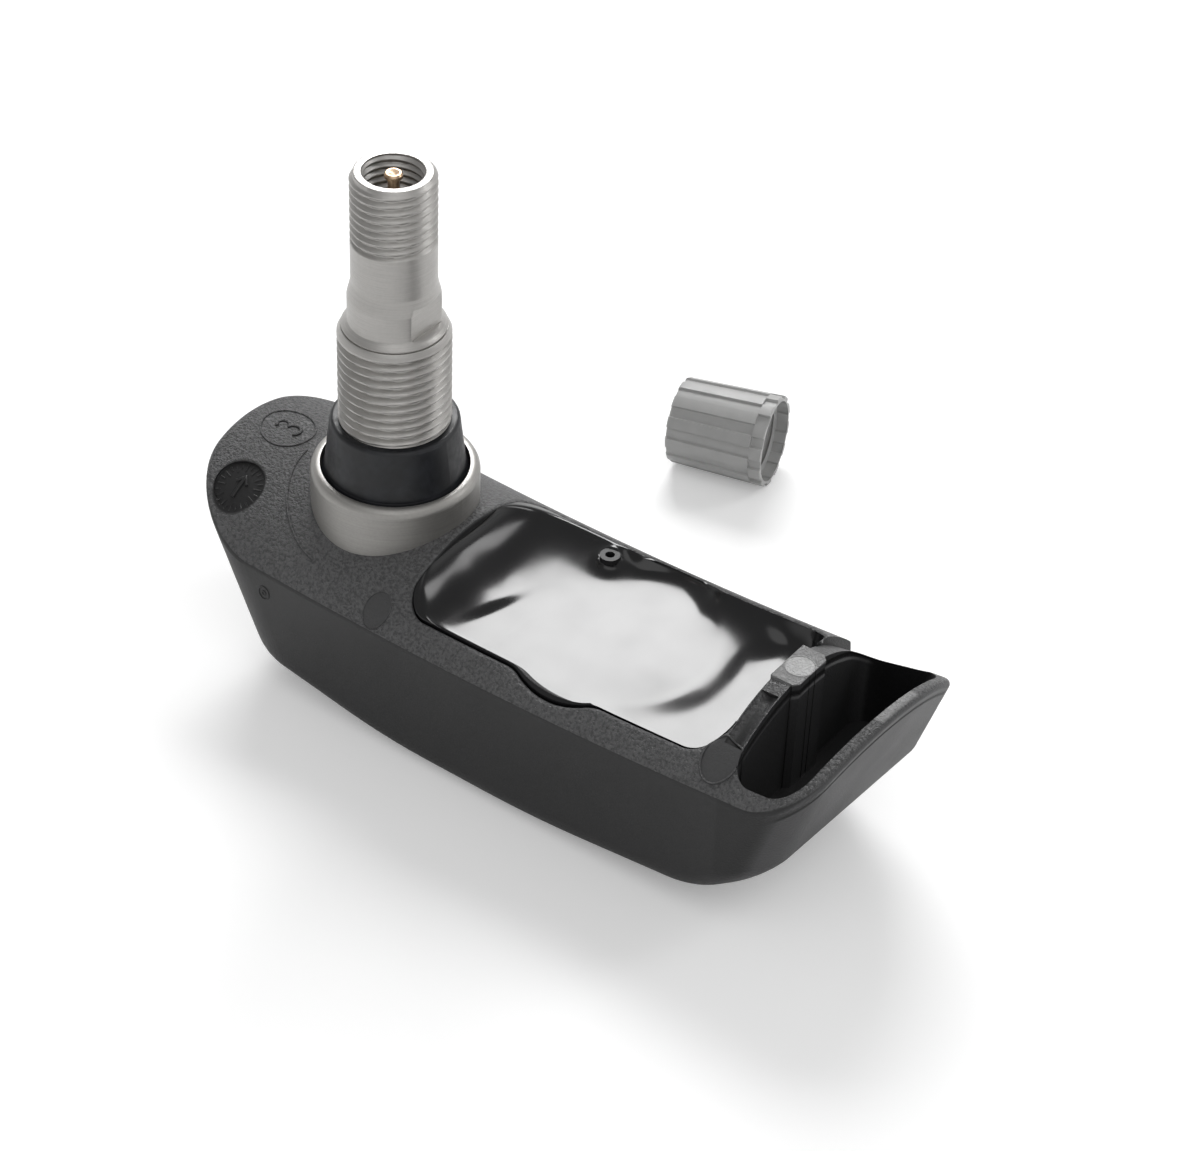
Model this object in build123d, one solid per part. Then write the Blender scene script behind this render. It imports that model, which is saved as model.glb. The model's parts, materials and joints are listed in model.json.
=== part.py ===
# Tyre pressure sensor with a turned aluminium valve, for the inside of a wheel rim.
#
# Millimetres. The valve axis is Z. The origin is on that axis at the foot of the
# rim thread, where the stem leaves its rubber seal. The moulded housing hangs
# below it and runs along X: its nose points to +X, its round end to -X.
import os
from math import atan2, cos, degrees, radians, sin, sqrt, tan

from build123d import *

os.makedirs("parts", exist_ok=True)

# Valve stem, from the mouth down
mouth_z = 25.85
mouth_thread_d = 7.7
mouth_thread_len = 7.25
mouth_thread_pitch = 0.794
mouth_thread_depth = 0.43
mouth_chamfer = 0.4
shank_foot_z = 14.8
band_d = 8.4
band_top_z = 13.3
band_foot_z = 10.75
spanner_flats = 7.25
spanner_rise = 0.6
shoulder_d = 9.6
shoulder_z = 10.2
shoulder_groove_w = 0.2
shoulder_groove_depth = 0.2
rim_thread_d = 10.3
rim_thread_len = 9.4
rim_thread_pitch = 0.907
rim_thread_depth = 0.5
thread_crest = 0.1
stem_neck_d = 9.9
stem_foot_d = 8.2
stem_foot_depth = 8.0

# Bores of the stem
core_thread_d = 5.2
core_seat_h = 1.3
core_bore_d = 3.9
core_bore_len = 8.5
air_bore_d = 3.2

# Seat collar and rubber seal
seat_drop = 8.4
collar_d = 15.6
collar_h = 3.2
collar_lip_r = 0.8
collar_floor_h = 0.8
collar_cup_d = 13.8
seal_top_d = 11.8
seal_lip_d = 13.0
seal_edge_r = 0.4
rubber_gap = 0.05

# Valve core
core_head_drop = 3.25
core_head_len = 4.6
core_body_d = 3.5
core_body_len = 5.2
core_chamber_d = 2.7
core_guide_gap = 0.1
core_guide_len = 1.4
core_bridge_h = 0.8
core_bridge_w = 1.9
core_thread_gap = 0.05
pin_tip_drop = 0.15
pin_d = 1.05
pin_head_d = 1.65
pin_head_h = 0.6
pin_collar_d = 2.3
pin_collar_h = 0.5
pin_collar_drop = 1.7
pin_travel = 1.0
plunger_d = 3.3
plunger_h = 1.6
plunger_wall = 0.4
disc_d = 2.7
disc_gap = 0.02
spring_wire_d = 0.26
spring_turns = 7
spring_gap = 0.04

# Fixing screw, entered from below
screw_d = 5.0
screw_bore_d = 2.0
screw_head_d = 8.4
screw_head_h = 2.8
screw_head_edge = 0.4
screw_reach = 6.0
screw_clearance = 0.15
screw_thread_gap = 0.05
drive_lobes = 6
drive_d = 3.6
drive_lobe_d = 1.2
drive_depth = 1.6
web_h = 5.0
head_gap = 0.4

# Housing walls, underside and crown
end_reach = 17.5
nose_reach = 53.8
housing_w = 24.0
housing_depth = 19.1
end_rake = 25.3
end_skew = 0.8
nose_rake = 16.7
nose_skew = 0.9
end_near_r = 7.0
end_far_r = 9.5
nose_near_r = 4.6
nose_far_r = 3.0
hull_edge_r = 2.4
crown_r = 16.1
crown_shift = 0.35
crown_length_r = 357.0
crown_low_x = 10.5
crease_r = 0.5

# Straight runs of the underside, seen from the side: how far each meeting lies from the round end
# or from the end of the nose, its rise above the lowest run, and the bend at each inner meeting
round_end_runs = [(0.5, 13.1), (8.5, 2.9), (25.5, 0.0)]
nose_end_runs = [(28.8, 0.0), (11.0, 2.0), (1.8, 9.5)]
hull_radii = [10.0, 60.0, 100.0, 10.0]

# Electronics pocket
pocket_start = 8.5
side_wall = 2.45
cell_wall = 1.5
pocket_end_corner_r = 2.6
pocket_nose_corner_r = 3.2
pocket_floor_depth = 15.6
shelf_depth = 8.9
shelf_w = 1.6
battery_offset = 0.15
battery_clearance = 0.5
bulge_blend_r = 4.0
pocket_lip_r = 0.35

# Nose pocket and the partition in front of it
partition_t = 2.1
nose_wall = 1.3
nose_pocket_l = 7.8
nose_pocket_corner_r = 3.1
nose_pocket_depth = 10.5
pad_l = 5.0
pad_y = 1.1
pad_out = 0.6
pad_rise = 0.1
pad_corner = 0.5
scoop_r = 1.0
scoop_lift = 0.45
scoop_start = 12.0
scoop_end = 33.0
far_lip_dip = 8.0
far_lip_y = 3.6
far_lip_ramp = 1.5

# Date mark recessed in the crown
date_mark_inset_x = 4.8
date_mark_inset_y = 4.7
date_mark_d = 5.0
date_mark_depth = 0.25

# Potting
potting_depth = 4.5
meniscus_r = 1.2
meniscus_rim = 0.12
potting_drop = 0.2
embed_gap = 0.04

# Battery and its tabs
battery_h = 5.0
battery_edge_r = 0.4
tab_t = 0.2
tab_w = 3.0
tab_reach = 5.0
tab_inset = 1.6

# Circuit board
board_gap = 0.35
board_t = 1.0
board_corner_r = 3.0

# Pressure chip and the port tube over it
port_inset_x = 10.3
port_inset_y = 1.55
port_tube_d = 1.9
port_hole_d = 0.9
port_rise = 1.2
chip_l = 5.0
chip_w = 5.0
chip_h = 1.9
chip_offset_y = 1.5

# Parts on the board: how far each lies from its neighbour or the pocket, and its size
radio_to_crystal = 6.0
radio_y = -1.5
radio_l = 4.0
radio_w = 4.0
radio_h = 1.0
crystal_to_coil = 4.9
crystal_y = -1.5
crystal_l = 3.2
crystal_w = 2.5
crystal_h = 0.8
capacitor_to_port_x = 5.7
capacitor_to_port_y = 2.4
capacitor_l = 1.6
capacitor_w = 0.8
capacitor_h = 0.8
capacitor_count = 4
capacitor_pitch = 2.6
coil_inset = 4.2
coil_l = 7.8
coil_w = 2.4
coil_h = 2.4
coil_flange = 1.1
coil_winding_t = 0.45
antenna_inset_y = 3.15
antenna_lead = 3.5
antenna_tail = 6.6
antenna_w = 1.2
antenna_h = 2.2
antenna_t = 0.4

# Valve cap, lying on its side on the surface that the housing stands on
cap_mouth_d = 9.5
cap_end_d = 8.9
cap_len = 10.4
cap_top_t = 1.7
cap_thread_gap = 0.1
cap_flutes = 12
cap_flute_depth = 0.2
cap_flute_w = 1.5
cap_rim_h = 1.3
cap_rim_wall = 0.55
cap_notch_depth = 0.3
cap_notch_w = 1.0
cap_edge = 0.6
cap_seal_h = 0.9
cap_seal_seat_d = 7.5
cap_x = 3.1
cap_y = 42.0
cap_heading = 15.0

# Heights and places that follow from the sizes above
crown_z = -seat_drop
crown_sag = crown_length_r - sqrt(crown_length_r ** 2 - crown_low_x ** 2)
crown_low_z = crown_z - crown_sag
hull_z = crown_z - housing_depth
thread_foot_z = mouth_z - mouth_chamfer - mouth_thread_len
nose_pocket_start = nose_reach - nose_wall - nose_pocket_l
pocket_end = nose_pocket_start - partition_t
pocket_w = housing_w - 2 * side_wall
well_r = housing_w / 2 - cell_wall
battery_d = 2 * (well_r - battery_clearance)
battery_x = (pocket_start + pocket_end) / 2 + battery_offset
nose_pocket_floor_z = crown_z - nose_pocket_depth
pocket_floor_z = crown_z - pocket_floor_depth
shelf_z = crown_z - shelf_depth
potting_z = crown_z - potting_depth
board_top_z = shelf_z + board_t
battery_base_z = pocket_floor_z + tab_t
battery_top_z = battery_base_z + battery_h
stem_foot_z = crown_z - stem_foot_depth
screw_seat_z = stem_foot_z - web_h
screw_tip_z = stem_foot_z + screw_reach
cup_floor_z = crown_z + collar_floor_h
collar_top_z = crown_z + collar_h
core_head_top_z = mouth_z - core_head_drop
core_head_foot_z = core_head_top_z - core_head_len
core_neck_z = core_head_foot_z - core_seat_h
core_foot_z = core_neck_z - core_body_len
core_floor_z = core_foot_z + core_guide_len
core_bore_foot_z = core_neck_z - core_bore_len
pin_tip_z = mouth_z - pin_tip_drop
pin_collar_z = core_head_top_z - core_bridge_h - pin_collar_drop

port_x = pocket_start + port_inset_x
port_y = pocket_w / 2 - port_inset_y
capacitor_x = port_x + capacitor_to_port_x
capacitor_y = port_y - capacitor_to_port_y
coil_x = pocket_end - coil_inset
crystal_x = coil_x - crystal_to_coil
radio_x = crystal_x - radio_to_crystal
antenna_y = antenna_inset_y - pocket_w / 2
antenna_start = pocket_start + antenna_lead
antenna_end = pocket_end - antenna_tail
date_mark_x = date_mark_inset_x - end_reach
date_mark_y = date_mark_inset_y - housing_w / 2

# Reach of the tools that cut right through a piece, and how close two places are to count as one
through = 40.0
same_place = 0.01


def revolved(points):
    """Solid turned about the valve axis from an outline of (radius, z) points."""
    face = make_face(Polyline(*[(r, 0, z) for r, z in points], close=True))
    return revolve(face, Axis.Z)


def cylinder(d, low, high, x=0.0, y=0.0):
    """Upright cylinder between two heights."""
    return Pos(x, y, (low + high) / 2) * Cylinder(d / 2, high - low)


def block(l, w, low, high, x=0.0, y=0.0):
    """Upright box between two heights."""
    return Pos(x, y, (low + high) / 2) * Box(l, w, high - low)


def side_face(points):
    """Face in the XZ plane from (x, z) points."""
    return make_face(Polyline(*[(x, 0, z) for x, z in points], close=True))


def crown_height(x, y=0.0):
    """Height of the crown at a place in plan."""
    along = crown_length_r - sqrt(crown_length_r ** 2 - (x - crown_low_x) ** 2)
    across = crown_r - sqrt(crown_r ** 2 - (y - crown_shift) ** 2)
    return crown_low_z + along - across


def above_crown(lift=0.0):
    """Everything above the crown, which is arched across and dished along the housing."""
    half = (crown_r + housing_w / 2) / 2
    low = crown_low_z + lift
    edge_z = low - (crown_r - sqrt(crown_r ** 2 - half ** 2))
    roof = low + through
    arch = ThreePointArc((crown_low_x, -half, edge_z), (crown_low_x, 0, low), (crown_low_x, half, edge_z))
    sides = Polyline(
        (crown_low_x, half, edge_z),
        (crown_low_x, half, roof),
        (crown_low_x, -half, roof),
        (crown_low_x, -half, edge_z),
    )
    hub = Axis((crown_low_x, 0, low + crown_length_r), (0, 1, 0))
    reach = max(nose_reach - crown_low_x, end_reach + crown_low_x) * 1.2
    sweep_angle = 2 * degrees(atan2(reach, crown_length_r - through))
    section = make_face(arch + sides).rotate(hub, -sweep_angle / 2)
    return Pos(0, crown_shift, 0) * revolve(section, hub, sweep_angle)


def wall_outline(z):
    """Plan outline of the housing walls at a height: the two raked ends close in downwards."""
    below = crown_z - z
    left = -end_reach + below * tan(radians(end_rake))
    right = nose_reach - below * tan(radians(nose_rake))
    half = housing_w / 2
    corners = [
        ((left - end_skew, -half), end_near_r),
        ((right - nose_skew, -half), nose_near_r),
        ((right + nose_skew, half), nose_far_r),
        ((left + end_skew, half), end_far_r),
    ]
    outline = Polyline(*[place for place, radius in corners], close=True)
    plan = Plane.XY.offset(z) * make_face(outline)
    for (x, y), radius in corners:
        here = [v for v in plan.vertices() if abs(v.X - x) + abs(v.Y - y) < same_place]
        plan = fillet(here, radius)
    return plan


def hull_prism():
    """Everything above the boat-shaped underside."""
    runs = [(reach - end_reach, 0, hull_z + rise) for reach, rise in round_end_runs]
    runs += [(nose_reach - reach, 0, hull_z + rise) for reach, rise in nose_end_runs]
    keel = FilletPolyline(*runs, radius=hull_radii)
    start = keel @ 0
    end = keel @ 1
    roof = crown_z + through
    rest = Polyline(
        end,
        (end.X + through, 0, end.Z),
        (end.X + through, 0, roof),
        (start.X - through, 0, roof),
        (start.X - through, 0, start.Z),
        start,
    )
    return extrude(make_face(keel + rest), housing_w, both=True)


def hull_rim(body):
    """Edges where the underside meets the walls."""
    steepest = -0.5
    under = [face for face in body.faces() if face.normal_at().Z < steepest]
    edges = [edge for face in under for edge in face.edges()]
    return [edge for edge in edges if sum(edge.is_same(other) for other in edges) == 1]


def on_crown(edge, test):
    """Whether an edge lies on the crown, at a place in plan that passes a test."""
    middle = edge @ 0.5
    if abs(middle.Y) > housing_w / 2 + hull_edge_r:
        return False
    return abs(middle.Z - crown_height(middle.X, middle.Y)) < same_place and test(middle.X, middle.Y)


def beside_pocket(x, y):
    """Whether a place in plan is on the pocket or right beside it."""
    margin = pocket_lip_r / 2
    return pocket_start - margin < x < pocket_end + margin and abs(y) < well_r + margin


def pocket_plan(inset=0.0, swell_r=well_r):
    """Plan of the electronics pocket: a rounded box that swells round the battery."""
    start = pocket_start + inset
    end = pocket_end - inset
    half = pocket_w / 2 - inset
    box = Pos((start + end) / 2, 0) * Rectangle(end - start, 2 * half)
    box = fillet(box.vertices().sort_by(Axis.X)[:2], pocket_end_corner_r)
    box = fillet(box.vertices().sort_by(Axis.X)[-2:], pocket_nose_corner_r)
    plan = box + Pos(battery_x, 0) * Circle(swell_r)
    waist = [v for v in plan.vertices() if abs(v.X - battery_x) < swell_r and abs(abs(v.Y) - half) < same_place]
    return fillet(waist, bulge_blend_r)


def pocket_space(top_z):
    """Space inside the pocket, from its floor up to a height."""
    upper = extrude(Plane.XY.offset(shelf_z) * pocket_plan(), top_z - shelf_z)
    lower = extrude(Plane.XY.offset(pocket_floor_z) * pocket_plan(shelf_w), shelf_z - pocket_floor_z)
    return upper + lower


def nose_plan(z):
    """Plan of the nose pocket at a height: its far side follows the raked wall."""
    start = nose_pocket_start
    end = nose_reach - (crown_z - z) * tan(radians(nose_rake)) - nose_wall
    half = housing_w / 2 - nose_wall
    corners = [(start, -half), (end - nose_skew, -half), (end + nose_skew, half), (start, half)]
    plan = Plane.XY.offset(z) * make_face(Polyline(*corners, close=True))
    inner_r = min(nose_pocket_corner_r, (end - nose_skew - start) * 0.45)
    return fillet(plan.vertices(), inner_r)


def partition_pad():
    """Flat pad on the partition, on a boss that runs down into the nose pocket."""
    start = pocket_end
    end = nose_pocket_start + pad_out
    top = crown_height((start + end) / 2, pad_y) + pad_rise
    pad = block(end - start, pad_l, nose_pocket_floor_z, top, (start + end) / 2, pad_y)
    return chamfer(pad.edges().filter_by(Axis.Z).sort_by(Axis.X)[-2:], pad_corner)


def partition_scoop():
    """Gutter in the top of the partition, on the near side of the pad, that follows the arch."""
    centre_x = (pocket_end + nose_pocket_start) / 2
    ridge_z = crown_height(centre_x, crown_shift)
    hub = Axis((0, crown_shift, ridge_z - crown_r), (1, 0, 0))
    section = Plane.XZ.offset(-crown_shift) * Pos(centre_x, ridge_z + scoop_lift) * Circle(scoop_r)
    return revolve(section.rotate(hub, scoop_start), hub, scoop_end - scoop_start)


def far_lip_cut():
    """What the far rim of the nose loses where it dips, deepest beside the partition."""
    low = crown_z - housing_w / 2
    high = crown_z + housing_w / 2
    ramp = [
        (pocket_end - far_lip_ramp, high),
        (pocket_end + far_lip_ramp / 2, low),
        (nose_reach + through, low),
        (nose_reach + through, high),
    ]
    region = extrude(side_face(ramp), housing_w, both=True)
    dip_start = Vector(nose_pocket_start, far_lip_y, crown_height(nose_pocket_start, far_lip_y))
    dip_end = Vector(nose_reach, housing_w / 2, crown_height(nose_reach, housing_w / 2))
    hinge = Axis(dip_start, dip_end - dip_start)
    return above_crown().rotate(hinge, -far_lip_dip) & region


def date_mark():
    """Shallow round recess that follows the crown."""
    aside = date_mark_y - crown_shift
    slope = degrees(atan2(aside, sqrt(crown_r ** 2 - aside ** 2)))
    place = Pos(date_mark_x, date_mark_y, crown_height(date_mark_x, date_mark_y))
    disc = place * Rot(-slope, 0, 0) * Cylinder(date_mark_d / 2, date_mark_d)
    return disc & above_crown(-date_mark_depth)


def housing():
    """Moulded housing: boat-shaped shell with the electronics pocket and the nose pocket."""
    top_z = crown_z + seat_drop
    body = loft([wall_outline(top_z), wall_outline(hull_z - hull_edge_r)]) & hull_prism()
    body = fillet(hull_rim(body), hull_edge_r)
    body -= above_crown()
    body = fillet([e for e in body.edges() if on_crown(e, lambda x, y: True)], crease_r)
    body -= loft([nose_plan(top_z), nose_plan(nose_pocket_floor_z)])
    body -= pocket_space(top_z)
    body = fillet([e for e in body.edges() if on_crown(e, beside_pocket)], pocket_lip_r)
    body -= partition_scoop()
    body -= far_lip_cut()
    body += partition_pad()
    body -= date_mark()
    body -= cylinder(stem_foot_d + 2 * rubber_gap, stem_foot_z, top_z)
    body -= cylinder(screw_d + 2 * screw_clearance, screw_seat_z, stem_foot_z)
    body -= cylinder(screw_head_d + 2 * head_gap, hull_z - hull_edge_r, screw_seat_z)
    return body


def seat_collar():
    """Turned aluminium cup whose foot is hollowed to sit on the arched crown."""
    cup = revolved([
        (0, crown_z - collar_d / 2),
        (collar_d / 2, crown_z - collar_d / 2),
        (collar_d / 2, collar_top_z),
        (0, collar_top_z),
    ])
    cup = fillet(cup.edges().group_by(Axis.Z)[-1], collar_lip_r)
    cup -= cylinder(collar_cup_d, cup_floor_z, collar_top_z)
    cup -= cylinder(stem_foot_d + 2 * rubber_gap, crown_z - collar_d, cup_floor_z)
    return cup & above_crown()


def seal_grommet():
    """Rubber seal: fills the cup and tapers up the stem."""
    body = revolved([
        (stem_neck_d / 2 + rubber_gap, cup_floor_z),
        (collar_cup_d / 2 - rubber_gap, cup_floor_z),
        (collar_cup_d / 2 - rubber_gap, collar_top_z - collar_lip_r),
        (seal_lip_d / 2, collar_top_z),
        (seal_top_d / 2, 0),
        (stem_neck_d / 2 + rubber_gap, 0),
    ])
    top_rim = body.edges().filter_by(GeomType.CIRCLE).group_by(Axis.Z)[-1].sort_by(SortBy.RADIUS)[-1]
    return fillet(top_rim, seal_edge_r)


def thread_rings(d, low, length, pitch, depth):
    """Outline of an outer thread, as V-shaped rings at its pitch between narrow crests."""
    points = []
    for turn in range(int(length / pitch)):
        crest_z = low + turn * pitch + thread_crest
        points.append((d / 2, crest_z))
        points.append((d / 2 - depth, (crest_z + low + (turn + 1) * pitch) / 2))
        points.append((d / 2, low + (turn + 1) * pitch))
    return points


def valve_stem():
    """Turned aluminium stem: two threads as rings, spanner flats on the band between them."""
    mouth_r = mouth_thread_d / 2
    groove_r = shoulder_d / 2 - shoulder_groove_depth
    groove_foot_z = shoulder_z - shoulder_groove_w
    body = revolved([
        (0, stem_foot_z),
        (stem_foot_d / 2, stem_foot_z),
        (stem_foot_d / 2, cup_floor_z),
        (stem_neck_d / 2, cup_floor_z),
        (stem_neck_d / 2, 0),
        (rim_thread_d / 2, 0),
        *thread_rings(rim_thread_d, 0, rim_thread_len, rim_thread_pitch, rim_thread_depth),
        (rim_thread_d / 2, rim_thread_len),
        (shoulder_d / 2, groove_foot_z),
        (groove_r, groove_foot_z),
        (groove_r, shoulder_z),
        (shoulder_d / 2, shoulder_z),
        (band_d / 2, band_foot_z),
        (band_d / 2, band_top_z),
        (mouth_r, shank_foot_z),
        *thread_rings(mouth_thread_d, thread_foot_z, mouth_thread_len, mouth_thread_pitch, mouth_thread_depth),
        (mouth_r, mouth_z - mouth_chamfer),
        (mouth_r - mouth_chamfer, mouth_z),
        (0, mouth_z),
    ])
    flat_l = rim_thread_d
    for side in (-1, 1):
        flat_x = side * (spanner_flats + flat_l) / 2
        body -= block(flat_l, flat_l, band_foot_z, band_top_z + spanner_rise, flat_x)
    bore = revolved([
        (0, screw_tip_z),
        (air_bore_d / 2, screw_tip_z),
        (air_bore_d / 2, core_bore_foot_z),
        (core_bore_d / 2, core_bore_foot_z + (core_bore_d - air_bore_d) / 2),
        (core_bore_d / 2, core_neck_z),
        (core_thread_d / 2, core_head_foot_z),
        (core_thread_d / 2, mouth_z),
        (0, mouth_z),
    ])
    body -= bore
    return body - cylinder(screw_d, stem_foot_z, screw_tip_z)


def core_body():
    """Brass body of the valve core: threaded head with a bridge, and a long neck."""
    head_r = core_thread_d / 2 - core_thread_gap
    neck_r = core_body_d / 2
    body = revolved([
        (0, core_foot_z),
        (neck_r, core_foot_z),
        (neck_r, core_head_foot_z),
        (head_r, core_head_foot_z),
        (head_r, core_head_top_z),
        (0, core_head_top_z),
    ])
    bridge_foot_z = core_head_top_z - core_bridge_h
    body -= cylinder(core_chamber_d, core_floor_z, bridge_foot_z)
    body -= cylinder(pin_d + 2 * core_guide_gap, core_foot_z, core_head_top_z)
    window_l = core_chamber_d
    for side in (-1, 1):
        window_y = side * (core_bridge_w + window_l) / 2
        window = block(window_l, window_l, bridge_foot_z, core_head_top_z, 0, window_y)
        body -= window & cylinder(core_chamber_d, bridge_foot_z, core_head_top_z)
    return body


def core_ring():
    """Sealing ring of the core, on the cone of the stem's bore."""
    neck_r = core_body_d / 2 + rubber_gap
    seat_r = core_thread_d / 2 - core_thread_gap
    return revolved([
        (neck_r, core_neck_z),
        (core_bore_d / 2 - core_thread_gap, core_neck_z),
        (seat_r, core_head_foot_z),
        (neck_r, core_head_foot_z),
    ])


def core_pin():
    """Brass pin: peened tip, spring collar, and the shaft that carries the plunger."""
    r = pin_d / 2
    tip_r = pin_head_d / 2
    dish = pin_head_h / 4
    return revolved([
        (0, core_foot_z - plunger_h),
        (r, core_foot_z - plunger_h),
        (r, pin_collar_z - pin_collar_h),
        (pin_collar_d / 2, pin_collar_z - pin_collar_h),
        (pin_collar_d / 2, pin_collar_z),
        (r, pin_collar_z),
        (r, pin_tip_z - pin_head_h),
        (tip_r, pin_tip_z - pin_head_h + dish),
        (tip_r, pin_tip_z - dish),
        (tip_r - dish, pin_tip_z),
        (tip_r - 2 * dish, pin_tip_z),
        (0, pin_tip_z - dish),
    ])


def core_plunger():
    """Brass cup at the foot of the pin."""
    top_z = core_foot_z - disc_gap
    cup = cylinder(plunger_d, core_foot_z - plunger_h, top_z)
    cup -= cylinder(disc_d, core_foot_z - plunger_h + plunger_wall, top_z)
    return cup - cylinder(pin_d, core_foot_z - plunger_h, top_z)


def plunger_disc():
    """Rubber disc in the cup, which closes the foot of the core."""
    disc = cylinder(disc_d, core_foot_z - plunger_h + plunger_wall, core_foot_z - disc_gap)
    return disc - cylinder(pin_d, core_foot_z - plunger_h, core_foot_z)


def core_spring():
    """Return spring between the floor of the core and the collar of the pin."""
    low = core_floor_z + spring_wire_d / 2 + spring_gap
    high = pin_collar_z - pin_collar_h - spring_wire_d / 2 - spring_gap
    coil_r = (core_chamber_d + pin_d) / 4
    path = Pos(0, 0, low) * Helix((high - low) / spring_turns, high - low, coil_r)
    start = path @ 0
    wire = Plane(start, z_dir=path % 0) * Circle(spring_wire_d / 2)
    return sweep(wire, path)


def fixing_screw():
    """Hollow screw with a lobed socket, which holds the housing up against the stem."""
    head_foot_z = screw_seat_z - screw_head_h
    shank_r = screw_d / 2 - screw_thread_gap
    body = revolved([
        (0, head_foot_z),
        (screw_head_d / 2 - screw_head_edge, head_foot_z),
        (screw_head_d / 2, head_foot_z + screw_head_edge),
        (screw_head_d / 2, screw_seat_z),
        (shank_r, screw_seat_z),
        (shank_r, screw_tip_z - screw_head_edge),
        (shank_r - screw_head_edge, screw_tip_z),
        (0, screw_tip_z),
    ])
    body -= cylinder(screw_bore_d, head_foot_z, screw_tip_z)
    drive_top_z = head_foot_z + drive_depth
    body -= cylinder(drive_d, head_foot_z, drive_top_z)
    for lobe in range(drive_lobes):
        turn = radians(360 / drive_lobes * lobe)
        place = drive_d / 2
        body -= cylinder(drive_lobe_d, head_foot_z, drive_top_z, place * cos(turn), place * sin(turn))
    return body


def battery_cell():
    """Round lithium cell."""
    cell = cylinder(battery_d, battery_base_z, battery_top_z, battery_x)
    return fillet(cell.edges().filter_by(GeomType.CIRCLE), battery_edge_r)


def battery_tab(contact_z, lead_x):
    """Bent strip from a face of the cell up to the board."""
    towards = 1 if lead_x > battery_x else -1
    inner_x = battery_x - towards * tab_reach
    outline = [
        (inner_x, contact_z),
        (lead_x, contact_z),
        (lead_x, shelf_z),
        (lead_x - towards * tab_t, shelf_z),
        (lead_x - towards * tab_t, contact_z + tab_t),
        (inner_x, contact_z + tab_t),
    ]
    return extrude(side_face(outline), tab_w / 2, both=True)


def circuit_board():
    """Board that rests on the shelf of the pocket, over the battery."""
    start = pocket_start + board_gap
    end = pocket_end - board_gap
    plan = Pos((start + end) / 2, 0) * Rectangle(end - start, pocket_w - 2 * board_gap)
    plan = fillet(plan.vertices(), board_corner_r)
    return extrude(Plane.XY.offset(shelf_z) * plan, board_t)


def on_board(l, w, h, x, y):
    """Box that stands on the board."""
    return block(l, w, board_top_z, board_top_z + h, x, y)


def port_tube():
    """Tube that carries tyre pressure down to the chip."""
    low = board_top_z + chip_h
    high = potting_z + port_rise
    tube = cylinder(port_tube_d, low, high, port_x, port_y)
    return tube - cylinder(port_hole_d, low, high, port_x, port_y)


def capacitors():
    """Row of chip capacitors."""
    row = Part()
    for i in range(capacitor_count):
        x = capacitor_x + i * capacitor_pitch
        row += on_board(capacitor_w, capacitor_l, capacitor_h, x, capacitor_y)
    return row


def coil_core():
    """Ferrite bobbin with a thin waist between two square flanges."""
    waist_w = coil_w - 2 * coil_winding_t
    waist_h = coil_h - 2 * coil_winding_t
    waist_low = board_top_z + coil_winding_t
    core = block(waist_w, coil_l - coil_flange, waist_low, waist_low + waist_h, coil_x)
    for side in (-1, 1):
        flange_y = side * (coil_l - coil_flange) / 2
        core += on_board(coil_w, coil_flange, coil_h, coil_x, flange_y)
    return core


def coil_winding():
    """Copper winding round the waist of the bobbin."""
    wound_l = coil_l - 2 * coil_flange
    return on_board(coil_w, wound_l, coil_h, coil_x, 0) - coil_core()


def antenna_loop():
    """Stamped strip that bridges the board on two feet."""
    x = (antenna_start + antenna_end) / 2
    antenna_l = antenna_end - antenna_start
    strip = on_board(antenna_l, antenna_w, antenna_h, x, antenna_y)
    gap = on_board(antenna_l - 2 * antenna_t, antenna_w, antenna_h - antenna_t, x, antenna_y)
    return strip - gap


def potting_fill(embedded):
    """Potting compound: fills the pocket round everything in it, and creeps up the walls."""
    fill = pocket_space(potting_z + meniscus_r)
    tray = extrude(Plane.XY.offset(potting_z) * pocket_plan(meniscus_rim, well_r - meniscus_rim), 2 * meniscus_r)
    tray = fillet(tray.edges().group_by(Axis.Z)[0], meniscus_r)
    fill -= tray
    fill += cylinder(port_tube_d + 2 * embed_gap, shelf_z, potting_z, port_x, port_y)
    fill -= above_crown(-potting_drop)
    for piece in embedded:
        fill -= piece
    cell_r = battery_d / 2 + embed_gap
    fill -= cylinder(2 * cell_r, battery_base_z, battery_top_z, battery_x)
    return fill - cylinder(port_tube_d + 2 * embed_gap, board_top_z + chip_h, crown_z, port_x, port_y)


def on_its_side(piece):
    """Lays a cap, made upright with its mouth up, on the surface under the housing."""
    taper = degrees(atan2(cap_mouth_d - cap_end_d, 2 * cap_len))
    rest_z = hull_z + cap_end_d / 2 / cos(radians(taper))
    return Pos(cap_x, cap_y, rest_z) * Rot(0, 0, cap_heading) * Rot(0, 90 - taper, 0) * piece


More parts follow.
